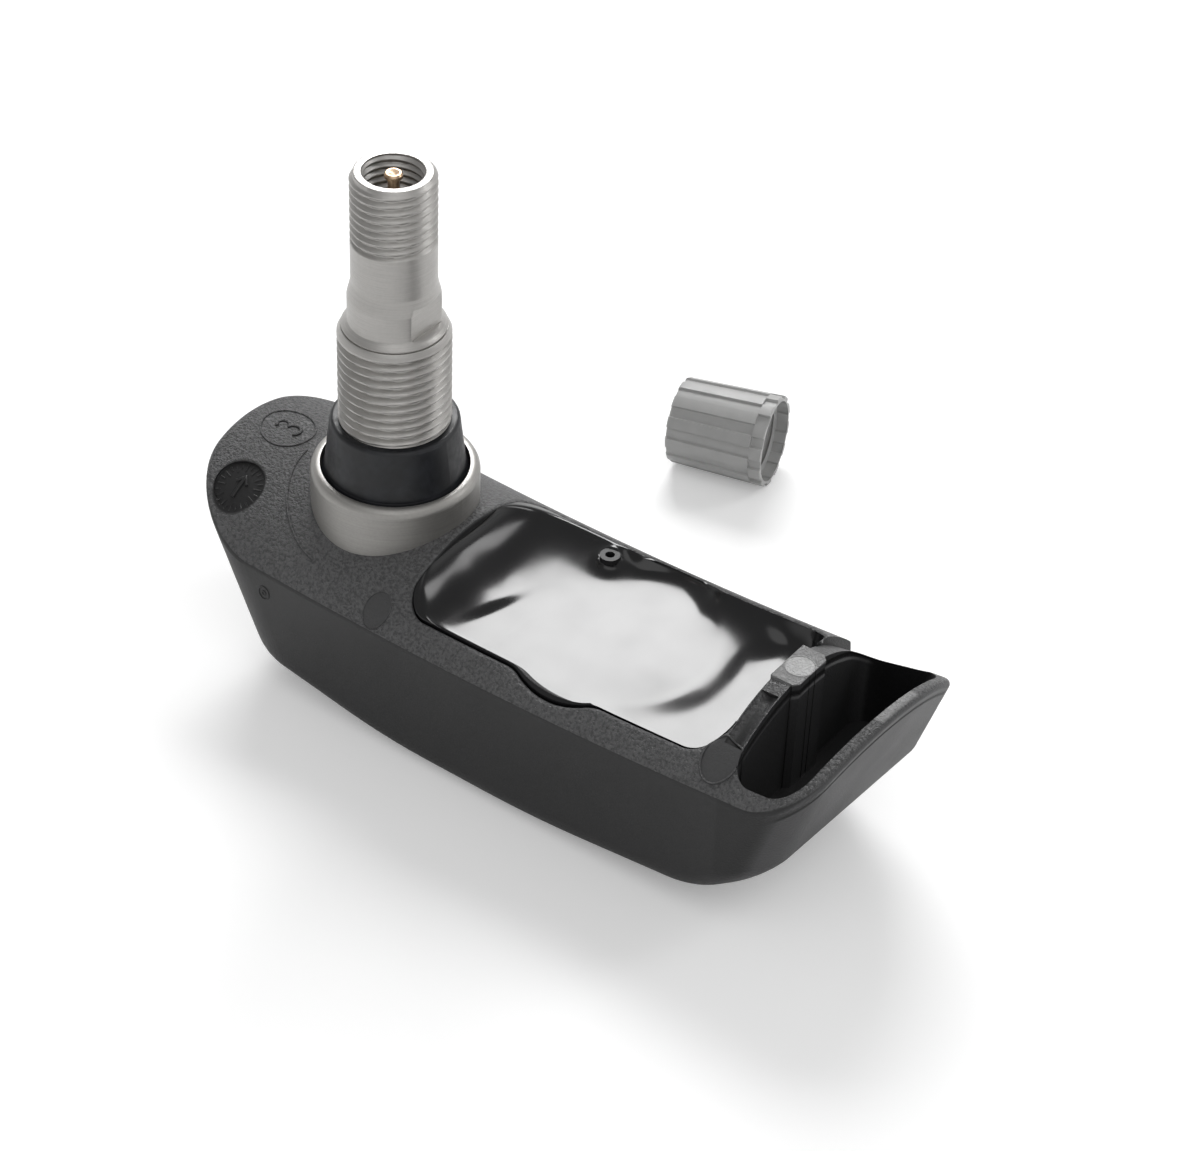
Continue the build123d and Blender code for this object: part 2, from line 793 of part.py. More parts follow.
def valve_cap():
    """Tapered plastic cap with shallow flutes, and a plain band round its mouth cut by notches."""
    end_r = cap_end_d / 2
    mouth_r = cap_mouth_d / 2
    flute_top = cap_len - cap_rim_h
    bore_r = mouth_thread_d / 2 + cap_thread_gap
    body = revolved([(0, 0), (end_r, 0), (mouth_r, cap_len), (0, cap_len)])
    body = fillet(body.edges().group_by(Axis.Z)[0], cap_edge)
    body -= cylinder(cap_seal_seat_d, cap_top_t, cap_len)
    body -= cylinder(2 * bore_r, cap_top_t + cap_seal_h, cap_len)
    body -= cylinder(2 * (mouth_r - cap_rim_wall), flute_top, cap_len)
    lean = degrees(atan2(mouth_r - end_r, cap_len))
    flute = Pos(end_r, 0, 0) * Rot(0, lean, 0) * Box(2 * cap_flute_depth, cap_flute_w, 4 * cap_len)
    flute &= cylinder(2 * cap_mouth_d, -cap_edge, flute_top)
    notch = block(2 * cap_notch_depth, cap_notch_w, flute_top, cap_len + cap_edge, mouth_r)
    for i in range(cap_flutes):
        turn = Rot(0, 0, 360 / cap_flutes * i)
        body -= turn * flute
        body -= turn * notch
    return body


def cap_seal():
    """Rubber disc in the closed end of the cap."""
    return cylinder(cap_seal_seat_d - 2 * rubber_gap, cap_top_t, cap_top_t + cap_seal_h)


board_parts = {
    "circuit_board": circuit_board(),
    "pressure_chip": on_board(chip_l, chip_w, chip_h, port_x, port_y - chip_offset_y),
    "radio_chip": on_board(radio_l, radio_w, radio_h, radio_x, radio_y),
    "crystal_can": on_board(crystal_l, crystal_w, crystal_h, crystal_x, crystal_y),
    "capacitors": capacitors(),
    "coil_core": coil_core(),
    "coil_winding": coil_winding(),
    "antenna_loop": antenna_loop(),
    "battery_tab_base": battery_tab(pocket_floor_z, pocket_start + shelf_w + tab_inset),
    "battery_tab_top": battery_tab(battery_top_z, pocket_end - shelf_w - tab_inset),
}

pieces = {
    "housing": housing(),
    "potting_fill": potting_fill(board_parts.values()),
    "battery_cell": battery_cell(),
    "port_tube": port_tube(),
    "seat_collar": seat_collar(),
    "seal_grommet": seal_grommet(),
    "valve_stem": valve_stem(),
    "core_body": core_body(),
    "core_ring": core_ring(),
    "core_pin": core_pin(),
    "core_plunger": core_plunger(),
    "plunger_disc": plunger_disc(),
    "core_spring": core_spring(),
    "fixing_screw": fixing_screw(),
    "valve_cap": on_its_side(valve_cap()),
    "cap_seal": on_its_side(cap_seal()),
}
pieces.update(board_parts)

for name, piece in pieces.items():
    export_step(piece, f"parts/{name}.step")
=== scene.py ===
# Looks of a tyre pressure sensor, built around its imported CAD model.
#
# Sizes are in millimetres and become metres in the meshes. The frame is the model's own: the valve
# axis is Z, the origin is at the foot of the rim thread, and the housing's nose points to +X.
import json
from math import atan2, cos, exp, hypot, log, pi, radians, sin, sqrt

import bmesh
import bpy
from mathutils import Matrix, Vector
from mathutils.bvhtree import BVHTree


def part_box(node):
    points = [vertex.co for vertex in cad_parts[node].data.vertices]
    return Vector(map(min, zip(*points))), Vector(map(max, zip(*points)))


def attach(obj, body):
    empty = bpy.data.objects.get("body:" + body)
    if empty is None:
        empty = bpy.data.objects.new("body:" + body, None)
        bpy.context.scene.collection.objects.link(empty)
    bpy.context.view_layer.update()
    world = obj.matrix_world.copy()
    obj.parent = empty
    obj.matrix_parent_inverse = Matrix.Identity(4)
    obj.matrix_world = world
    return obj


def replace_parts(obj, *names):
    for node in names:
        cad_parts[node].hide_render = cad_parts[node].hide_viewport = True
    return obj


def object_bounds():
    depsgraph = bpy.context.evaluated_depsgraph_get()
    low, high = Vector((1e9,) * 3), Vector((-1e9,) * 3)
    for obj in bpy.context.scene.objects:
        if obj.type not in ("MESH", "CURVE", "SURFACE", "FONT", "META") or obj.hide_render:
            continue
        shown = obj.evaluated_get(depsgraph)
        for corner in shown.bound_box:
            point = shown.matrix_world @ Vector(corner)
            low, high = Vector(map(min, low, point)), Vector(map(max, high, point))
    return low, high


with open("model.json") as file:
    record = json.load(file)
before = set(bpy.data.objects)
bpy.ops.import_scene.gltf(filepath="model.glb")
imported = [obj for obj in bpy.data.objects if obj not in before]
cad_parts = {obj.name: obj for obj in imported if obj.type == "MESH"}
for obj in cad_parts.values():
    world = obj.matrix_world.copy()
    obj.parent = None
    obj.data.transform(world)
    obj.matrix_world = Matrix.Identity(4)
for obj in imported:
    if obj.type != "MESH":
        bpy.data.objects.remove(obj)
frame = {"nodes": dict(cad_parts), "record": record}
cad_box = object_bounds()
nodes = frame["nodes"]
MM = 0.001
BODY = "sensor"

# Camera, at the photograph's viewpoint
camera_place = (149.91, -181.75, 173.61)
camera_azimuth = 34.85
camera_elevation = 39.16
camera_roll = 2.6
camera_lens = 96.82
sensor_width = 36.0

# Floor: how much of its white it shows the camera by itself, and half its width
floor_glow = 0.22
floor_half = 1500.0

# Light: the point that the lamps face, and the world's strength round the horizon and overhead
lamp_aim = (25, 0, -12)
horizon_light = 0.8
overhead_light = 0.32
horizon_reach = 0.12
overhead_reach = 0.5

# Valve stem, from its foot to its mouth
stem_foot_d = 8.2
stem_neck_d = 9.9
neck_foot_z = -7.6
rim_thread_d = 10.3
rim_thread_len = 9.4
rim_thread_pitch = 0.907
shoulder_d = 9.6
shoulder_z = 10.2
shoulder_groove = 0.2
band_d = 8.4
band_foot_z = 10.75
band_top_z = 13.3
spanner_flats = 7.25
spanner_rise = 0.6
shank_foot_z = 14.8
mouth_thread_d = 7.7
mouth_thread_foot_z = 18.9
mouth_thread_lead = 0.5
mouth_thread_pitch = 0.794
mouth_chamfer = 0.4
mouth_inner_chamfer = 0.2
rim_thread_depth = 0.5
mouth_thread_depth = 0.36
core_thread_depth = 0.3
thread_crest = 0.14
thread_flank = 0.7
thread_run_in = 0.2
thread_run_out = 0.35
mouth_thread_end = 0.15
core_bore_len = 8.5
outside_r = 3.0
core_thread_d = 5.2
core_thread_pitch = 0.706
core_bore_d = 3.9
air_bore_d = 3.2
screw_bore_d = 5.0
screw_reach = 6.0
turn_steps = 176
rows_per_pitch = 14
edge_round = 0.07

# Crown of the housing: arched across, dished along
crown_low_x = 10.5
crown_low_z = -8.554
crown_r = 16.1
crown_shift = 0.35
crown_length_r = 357.0

# Potting surface: the pocket it lies in, its level and how it climbs each wall. A lip is a height,
# or a share of the climb to the crown, and the width that it fades over. Each step of the far
# wall's creep is a change and the two places along X that it goes between.
pocket_start = 8.5
pocket_end = 42.6
potting_level = -12.9
potting_rows = 200
potting_columns = 150
ramp_len = 2.3
ramp_tail = 1.5
ramp_tail_gain = 0.3
ramp_tail_span = (-4.0, 6.0)
valve_lip = (0.5, 0.3)
nose_lip = (0.5, 0.5)
near_share = 0.9
near_creep = 0.22
far_share = 0.95
far_creep = 2.0
far_creep_steps = ((-1.2, 15.0, 20.5), (1.3, 26.0, 36.0), (-1.2, 35.0, 38.5))
climb_sharpness = 6.0
cell_centre = (26.0, 0.2)
cell_step = 0.27
cell_step_span = (22.0, 32.0)
cell_step_fade = 0.85
cell_fade_span = (1.0, 8.0)
cell_edge = (9.2, 11.6)
cell_brim = (0.1, 9.0, 0.5)
dent = (14.5, -3.6)
dent_heading = (0.29, 0.96)
dent_step = 0.26
dent_side = (-0.7, 0.6)
dent_half_len = 2.9
potting_lift = 0.03
potting_skirt = 0.5
rim_drop = 0.12
port_place = (18.8, 8.0)
port_r = 0.95
port_lip = (0.55, 0.7)
port_hole = (1.3, 0.5, 0.9)
wall_clearance = 0.01
wall_probe_drop = 0.3

# Marks moulded in the housing
collar_ring = (-0.6, -0.5, 9.2)
collar_ring_turns = (183, 262)
gate_mark = (-5.84, -16.2)
gate_rings = (("gate_rim", 0.6), ("gate_core", 0.2))
gate_bead_r = 0.08
side_probe_y = -40.0
small_bead_r = 0.06
number_ring = (-13.2, 0.3, 2.6)
date_ring = (-12.7, -7.3, 2.5)
front_ejector = (6.43, -10.5, 1.3)
nose_ejector = (43.3, -9.5, 1.75)
pad_disc = (44.0, 1.05, 1.35)
bead_r = 0.12
dial_ticks = 24
tick_starts = (1.75, 1.45)

# Where the housing's finish and its painted light and shade change, each from one place to another
crown_edge = (0.3, 0.6)
nose_start = (43.0, 46.0)
corner_start = (44.6, 45.0)
pad_start = (42.4, 42.7)
pad_middle = 1.1
pad_side = (2.45, 2.7)
lip_drop = 1.15
lip_groove = (0.05, 0.55)

# Valve cap, lying on its side
cap_mouth_r = 4.75
cap_end_r = 4.45
cap_len = 10.4
cap_top_t = 1.7
cap_bore_r = 3.95
cap_seat_r = 3.75
cap_seal_h = 0.9
cap_rim_h = 1.3
cap_rim_wall = 0.55
cap_flutes = 12
cap_flute_depth = 0.24
cap_flute_share = 0.24
cap_notch_depth = 0.3
cap_notch_share = 0.22
cap_pocket_depth = 0.16
cap_thread_depth = 0.36
cap_thread_start = 0.3
cap_step_edge = 0.018
cap_place = (3.1, 42.0)
cap_heading = 15.0


def new_mesh(name, verts, faces, material, sharp=35.0):
    """A piece from vertices in millimetres, shaded smooth except over sharp edges."""
    mesh = bpy.data.meshes.new(name)
    mesh.from_pydata([Vector(v) * MM for v in verts], [], faces)
    mesh.validate()
    piece = bpy.data.objects.new(name, mesh)
    bpy.context.scene.collection.objects.link(piece)
    mesh.materials.append(material)
    shade(mesh, sharp)
    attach(piece, BODY)
    return piece


def shade(mesh, sharp):
    """Smooth shading with sharp edges kept."""
    work = bmesh.new()
    work.from_mesh(mesh)
    bmesh.ops.recalc_face_normals(work, faces=work.faces)
    for face in work.faces:
        face.smooth = True
    limit = radians(sharp)
    for edge in work.edges:
        edge.smooth = edge.calc_face_angle(0.0) < limit
    work.to_mesh(mesh)
    work.free()


def welded(piece, sharp):
    """The piece with vertices that coincide joined, as at the middle of a disc."""
    work = bmesh.new()
    work.from_mesh(piece.data)
    bmesh.ops.remove_doubles(work, verts=work.verts, dist=1e-7)
    bmesh.ops.dissolve_degenerate(work, edges=work.edges, dist=1e-7)
    work.to_mesh(piece.data)
    work.free()
    shade(piece.data, sharp)
    return piece


def grid_faces(rows, columns, close_rows=False, close_columns=True):
    """Quads of a grid of vertices stored row by row."""
    faces = []
    for i in range(rows if close_rows else rows - 1):
        for j in range(columns if close_columns else columns - 1):
            a = i * columns + j
            b = i * columns + (j + 1) % columns
            c = (i + 1) % rows * columns + (j + 1) % columns
            d = (i + 1) % rows * columns + j
            faces.append((a, b, c, d))
    return faces


# Shader nodes

class Shader:
    """A material under construction, with short calls that add and join its nodes."""

    def __init__(self, name):
        self.material = bpy.data.materials.new(name)
        self.material.use_nodes = True
        self.tree = self.material.node_tree
        self.tree.nodes.clear()
        self.out = self.tree.nodes.new("ShaderNodeOutputMaterial")
        self.place = self.add("TexCoord").outputs["Object"]
        self.facing = self.add("TexCoord").outputs["Normal"]

    def add(self, kind, **settings):
        node = self.tree.nodes.new("ShaderNode" + kind)
        for key, value in settings.items():
            setattr(node, key, value)
        return node

    def join(self, source, target):
        self.tree.links.new(source, target)

    def feed(self, node, key, value):
        if isinstance(value, bpy.types.NodeSocket):
            self.join(value, node.inputs[key])
        elif value is not None:
            node.inputs[key].default_value = value

    def math(self, operation, a, b=None, clamp=False):
        node = self.add("Math", operation=operation, use_clamp=clamp)
        self.feed(node, 0, a)
        self.feed(node, 1, b)
        return node.outputs[0]

    def split(self, vector):
        node = self.add("SeparateXYZ")
        self.join(vector, node.inputs[0])
        return node.outputs

    def scaled(self, vector, scale):
        node = self.add("Mapping")
        self.join(vector, node.inputs["Vector"])
        node.inputs["Scale"].default_value = scale
        return node.outputs[0]

    def noise(self, size, detail=2.0, roughness=0.5, stretch=(1, 1, 1)):
        """Noise whose features are about a size in millimetres."""
        rate = 1 / (size * MM)
        source = self.scaled(self.place, tuple(rate * s for s in stretch))
        node = self.add("TexNoise")
        self.join(source, node.inputs["Vector"])
        node.inputs["Scale"].default_value = 1.0
        node.inputs["Detail"].default_value = detail
        node.inputs["Roughness"].default_value = roughness
        return node.outputs["Fac"]

    def remap(self, value, low, high, to_low=0.0, to_high=1.0, smooth=False):
        node = self.add("MapRange")
        if smooth:
            node.interpolation_type = "SMOOTHSTEP"
        ends = {"From Min": low, "From Max": high, "To Min": to_low, "To Max": to_high}
        for key, number in ends.items():
            self.feed(node, key, number)
        self.join(value, node.inputs["Value"])
        return node.outputs[0]

    def blend(self, factor, a, b):
        """Mix of two colours."""
        node = self.add("Mix", data_type="RGBA")
        self.feed(node, 0, factor)
        self.feed(node, 6, a)
        self.feed(node, 7, b)
        return node.outputs[2]

    def bump(self, height, depth, strength=1.0, base=None):
        """Bump from a height of 0 to 1 that stands for a depth in millimetres."""
        node = self.add("Bump")
        self.join(height, node.inputs["Height"])
        node.inputs["Distance"].default_value = depth * MM
        self.feed(node, "Strength", strength)
        if base is not None:
            self.join(base, node.inputs["Normal"])
        return node.outputs[0]

    def surface(self, colour, roughness, normal=None, **settings):
        node = self.add("BsdfPrincipled")
        self.feed(node, "Base Color", colour)
        self.feed(node, "Roughness", roughness)
        for key, value in settings.items():
            self.feed(node, key.replace("_", " "), value)
        if normal is not None:
            self.join(normal, node.inputs["Normal"])
        self.join(node.outputs[0], self.out.inputs["Surface"])
        return self.material


def crown_gap(s, x, y, z):
    """Depth below the crown, in millimetres, from the place's coordinates."""
    along = s.math("POWER", s.math("ABSOLUTE", s.math("SUBTRACT", x, crown_low_x)), 2.0)
    along = s.math("MULTIPLY", along, 0.5 / crown_length_r)
    aside = s.math("POWER", s.math("ABSOLUTE", s.math("SUBTRACT", y, crown_shift)), 2.0)
    drop = s.math("SQRT", s.math("MAXIMUM", s.math("SUBTRACT", crown_r ** 2, aside), 0.0))
    top = s.math("ADD", s.math("ADD", along, crown_low_z - crown_r), drop)
    return s.math("SUBTRACT", top, z)


def disc_mask(s, x, y, disc, soft=0.12):
    """1 inside a round mark in plan, 0 outside."""
    across = s.math("POWER", s.math("ABSOLUTE", s.math("SUBTRACT", x, disc[0])), 2.0)
    along = s.math("POWER", s.math("ABSOLUTE", s.math("SUBTRACT", y, disc[1])), 2.0)
    far = s.math("SQRT", s.math("ADD", across, along))
    return s.remap(far, disc[2] - soft, disc[2] + soft, 1.0, 0.0)


def moulded_plastic():
    """Black grained plastic: coarse grain on the crown, fine on the walls, smooth at the nose. The
    upward-facing crown is painted lighter than the walls, the nose pad and its disc carry painted sheen,
    and the groove under the nose lip carries painted shade.
    """
    s = Shader("housing_plastic")
    x, y, z = (s.math("MULTIPLY", axis, 1 / MM) for axis in s.split(s.place))
    below = crown_gap(s, x, y, z)
    facing = s.split(s.facing)
    upward = s.remap(facing[2], 0.45, 0.7, smooth=True)
    crown = s.math("MULTIPLY", upward, s.remap(below, *crown_edge, 1.0, 0.0))
    nose_face = s.math("MULTIPLY", s.remap(facing[0], 0.35, 0.7, smooth=True), s.remap(x, *nose_start))
    dial = disc_mask(s, x, y, date_ring)
    near_valve = disc_mask(s, x, y, front_ejector)
    ejectors = s.math("ADD", near_valve, disc_mask(s, x, y, nose_ejector), clamp=True)
    # Mask of the pad on the nose, where sheen is painted into the colour
    painted_pad_sheen = s.math("MULTIPLY", s.remap(below, 0.0, 0.15, 1.0, 0.0), s.remap(x, *pad_start))
    from_pad = s.math("ABSOLUTE", s.math("SUBTRACT", y, pad_middle))
    painted_pad_sheen = s.math("MULTIPLY", painted_pad_sheen, s.remap(from_pad, *pad_side, 1.0, 0.0))
    disc = s.math("MULTIPLY", disc_mask(s, x, y, pad_disc), painted_pad_sheen)
    plain = s.math("MULTIPLY", s.math("ADD", dial, ejectors, clamp=True), 0.9)
    grained = s.math("SUBTRACT", crown, plain, clamp=True)
    coarse = s.remap(s.noise(0.29, detail=2.0, roughness=0.6), 0.36, 0.62)
    fine = s.remap(s.noise(0.16, detail=1.0), 0.3, 0.7)
    brushed = s.noise(0.12, detail=2.0, stretch=(1.0, 0.08, 1.0))
    patches = s.noise(6.0, detail=3.0)
    # The upward-facing crown is painted lighter than the walls. This is partly the coarser grain and
    # partly painted light falling from above.
    colour = s.blend(crown, (0.017, 0.017, 0.0175, 1), (0.052, 0.052, 0.053, 1))
    speck = s.math("MULTIPLY", s.math("MULTIPLY", coarse, grained), 0.7)
    colour = s.blend(speck, colour, (0.125, 0.125, 0.127, 1))
    colour = s.blend(s.math("MULTIPLY", nose_face, 0.8), colour, (0.06, 0.06, 0.062, 1))
    # Painted sheen: the pad on the nose is painted light grey. The disc on it is painted lighter still,
    # as a painted highlight on the black plastic.
    colour = s.blend(s.math("MULTIPLY", painted_pad_sheen, 0.8), colour, (0.27, 0.27, 0.27, 1))
    colour = s.blend(s.math("MULTIPLY", disc, 0.8), colour, (0.52, 0.52, 0.52, 1))
    colour = s.blend(s.math("MULTIPLY", dial, crown), colour, (0.006, 0.006, 0.0065, 1))
    corner = s.math("MULTIPLY", s.remap(facing[1], -0.9, -0.75, 1.0, 0.0), s.remap(x, *corner_start))
    colour = s.blend(s.math("MULTIPLY", corner, 0.7), colour, (0.006, 0.006, 0.0065, 1))
    rough = s.remap(patches, 0.3, 0.7, 0.42, 0.52)
    normal = s.bump(coarse, 0.09, grained)
    normal = s.bump(fine, 0.02, s.math("SUBTRACT", 0.75, s.math("MULTIPLY", dial, 0.6)), normal)
    normal = s.bump(brushed, 0.02, s.math("MULTIPLY", ejectors, 0.8), normal)
    from_lip = s.math("ABSOLUTE", s.math("SUBTRACT", below, lip_drop))
    groove = s.remap(from_lip, *lip_groove, smooth=True)
    normal = s.bump(groove, 0.45, nose_face, normal)
    # Painted shade: the groove under the nose lip is painted nearly black, on top of the bump that shapes
    # it.
    painted_groove_shade = s.math("MULTIPLY", s.math("SUBTRACT", 1.0, groove), nose_face)
    colour = s.blend(s.math("MULTIPLY", painted_groove_shade, 0.75), colour, (0.004, 0.004, 0.004, 1))
    return s.surface(colour, rough, normal)


def cast_resin():
    """Glossy black potting with a faint unevenness."""
    s = Shader("potting_resin")
    drift = s.noise(7.0, detail=1.0)
    rough = s.remap(s.noise(4.0), 0.3, 0.7, 0.15, 0.21)
    colour = (0.005, 0.005, 0.0055, 1)
    return s.surface(colour, rough, s.bump(drift, 0.03, 0.6), IOR=1.55)


def turned_metal(name, colour, roughness, line=0.05):
    """Turned metal: fine rings round the valve axis and a faint mottle."""
    s = Shader(name)
    rings = s.noise(line, detail=3.0, stretch=(0.02, 0.02, 1.0))
    mottle = s.noise(0.25, detail=2.0)
    rough = s.remap(mottle, 0.3, 0.7, roughness - 0.05, roughness + 0.07)
    tone = s.remap(rings, 0.3, 0.7, 0.0, 1.0)
    dark = tuple(0.86 * c for c in colour) + (1,)
    normal = s.bump(rings, 0.006, 0.55)
    normal = s.bump(mottle, 0.003, 0.35, normal)
    tint = s.blend(tone, dark, (*colour, 1))
    return s.surface(tint, rough, normal, Metallic=1.0, Coat_Weight=0.5, Coat_Roughness=0.3)


def plain_metal(name, colour, roughness):
    """Stamped or plated metal with fine scratches."""
    s = Shader(name)
    scratch = s.noise(0.1, detail=3.0, stretch=(0.1, 1.0, 1.0))
    rough = s.remap(scratch, 0.3, 0.7, roughness - 0.05, roughness + 0.08)
    return s.surface((*colour, 1), rough, s.bump(scratch, 0.003, 0.4), Metallic=1.0)


def soft_rubber():
    """Black rubber with a dusty bloom."""
    s = Shader("seal_rubber")
    bloom = s.remap(s.noise(2.2, detail=4.0), 0.45, 0.75)
    colour = s.blend(bloom, (0.0035, 0.0042, 0.006, 1), (0.012, 0.0135, 0.018, 1))
    rough = s.remap(s.noise(0.6, detail=2.0), 0.3, 0.7, 0.38, 0.5)
    return s.surface(colour, rough, s.bump(s.noise(0.15), 0.006, 0.4))


def moulded_cap():
    """Grey plastic of the cap, with faint lines from its mould."""
    s = Shader("cap_plastic")
    mottle = s.noise(1.6, detail=3.0)
    colour = s.blend(mottle, (0.37, 0.37, 0.366, 1), (0.45, 0.45, 0.445, 1))
    drawn = s.noise(0.5, detail=3.0, stretch=(0.15, 1.0, 1.0))
    rough = s.remap(drawn, 0.3, 0.7, 0.4, 0.52)
    return s.surface(colour, rough, s.bump(drawn, 0.02, 0.4))


def plain_plastic(name, colour, roughness=0.45):
    """Moulded or printed plastic of the inner pieces."""
    s = Shader(name)
    speckle = s.noise(0.3, detail=2.0)
    dark = tuple(0.8 * c for c in colour) + (1,)
    return s.surface(s.blend(speckle, dark, (*colour, 1)), roughness, s.bump(speckle, 0.01, 0.3))


materials = {
    "housing_plastic": moulded_plastic(),
    "potting": cast_resin(),
    "collar_aluminium": turned_metal("collar_aluminium", (0.4, 0.39, 0.372), 0.5, 0.09),
    "stem_aluminium": turned_metal("stem_aluminium", (0.48, 0.468, 0.45), 0.44, 0.06),
    "core_brass": turned_metal("core_brass", (0.42, 0.39, 0.33), 0.4, 0.08),
    "pin_brass": turned_metal("pin_brass", (0.6, 0.42, 0.27), 0.3, 0.08),
    "seal_rubber": soft_rubber(),
    "cap_plastic": moulded_cap(),
    "screw_steel": plain_metal("screw_steel", (0.55, 0.55, 0.54), 0.35),
    "spring_steel": plain_metal("spring_steel", (0.5, 0.5, 0.5), 0.35),
    "cell_steel": plain_metal("cell_steel", (0.6, 0.6, 0.6), 0.3),
    "tab_metal": plain_metal("tab_metal", (0.62, 0.6, 0.56), 0.35),
    "copper": plain_metal("copper", (0.7, 0.35, 0.2), 0.35),
    "port_plastic": plain_plastic("port_plastic", (0.016, 0.016, 0.017), 0.5),
    "board": plain_plastic("board", (0.02, 0.12, 0.05)),
    "chip_plastic": plain_plastic("chip_plastic", (0.03, 0.03, 0.03)),
    "capacitor_ceramic": plain_plastic("capacitor_ceramic", (0.4, 0.3, 0.2)),
    "ferrite": plain_plastic("ferrite", (0.06, 0.06, 0.065)),
}
for entry in frame["record"]["subparts"]:
    for material_slot in nodes[entry["node"]].material_slots:
        material_slot.material = materials[entry["material_slot"]]


# Valve stem with its threads

def rounded(outline, radius):
    """The closed outline with each corner replaced by a short arc of three points."""
    result = []
    for i, (r, z) in enumerate(outline):
        before = Vector(outline[i - 1]) - Vector((r, z))
        after = Vector(outline[(i + 1) % len(outline)]) - Vector((r, z))
        cut = min(radius, before.length * 0.4, after.length * 0.4)
        a = Vector((r, z)) + before.normalized() * cut
        b = Vector((r, z)) + after.normalized() * cut
        middle = (a + b) / 4 + Vector((r, z)) / 2
        result += [tuple(a), tuple(middle), tuple(b)]
    return result


def densified(outline, spans):
    """The outline with extra points along its upright runs inside the given spans of height."""
    result = []
    for i, (r, z) in enumerate(outline):
        result.append((r, z))
        r2, z2 = outline[(i + 1) % len(outline)]
        for low, high, side, step in spans:
            inside = min(z, z2) > low - 0.2 and max(z, z2) < high + 0.2
            if abs(r - r2) < 0.02 and inside and abs(r - side) < 0.02 and abs(z - z2) > 2 * step:
                count = int(abs(z2 - z) / step)
                result += [(r, z + (z2 - z) * k / count) for k in range(1, count)]
    return result


def thread_dip(z, turn, low, high, pitch, depth, lead=0.0):
    """How far a right-hand thread dips below its crest at a height and an angle; lead is in turns."""
    phase = (z / pitch - turn / (2 * pi) + lead) % 1.0
    flank = abs(2 * phase - 1)
    shape = min(max((flank - thread_crest) / thread_flank, 0.0), 1.0)
    run_out = min(max((high - z) / (thread_run_out * pitch), 0.0), 1.0)
    run_in = min(max((z - low) / (thread_run_in * pitch), 0.0), 1.0)
    return depth * shape * (run_out * run_in)


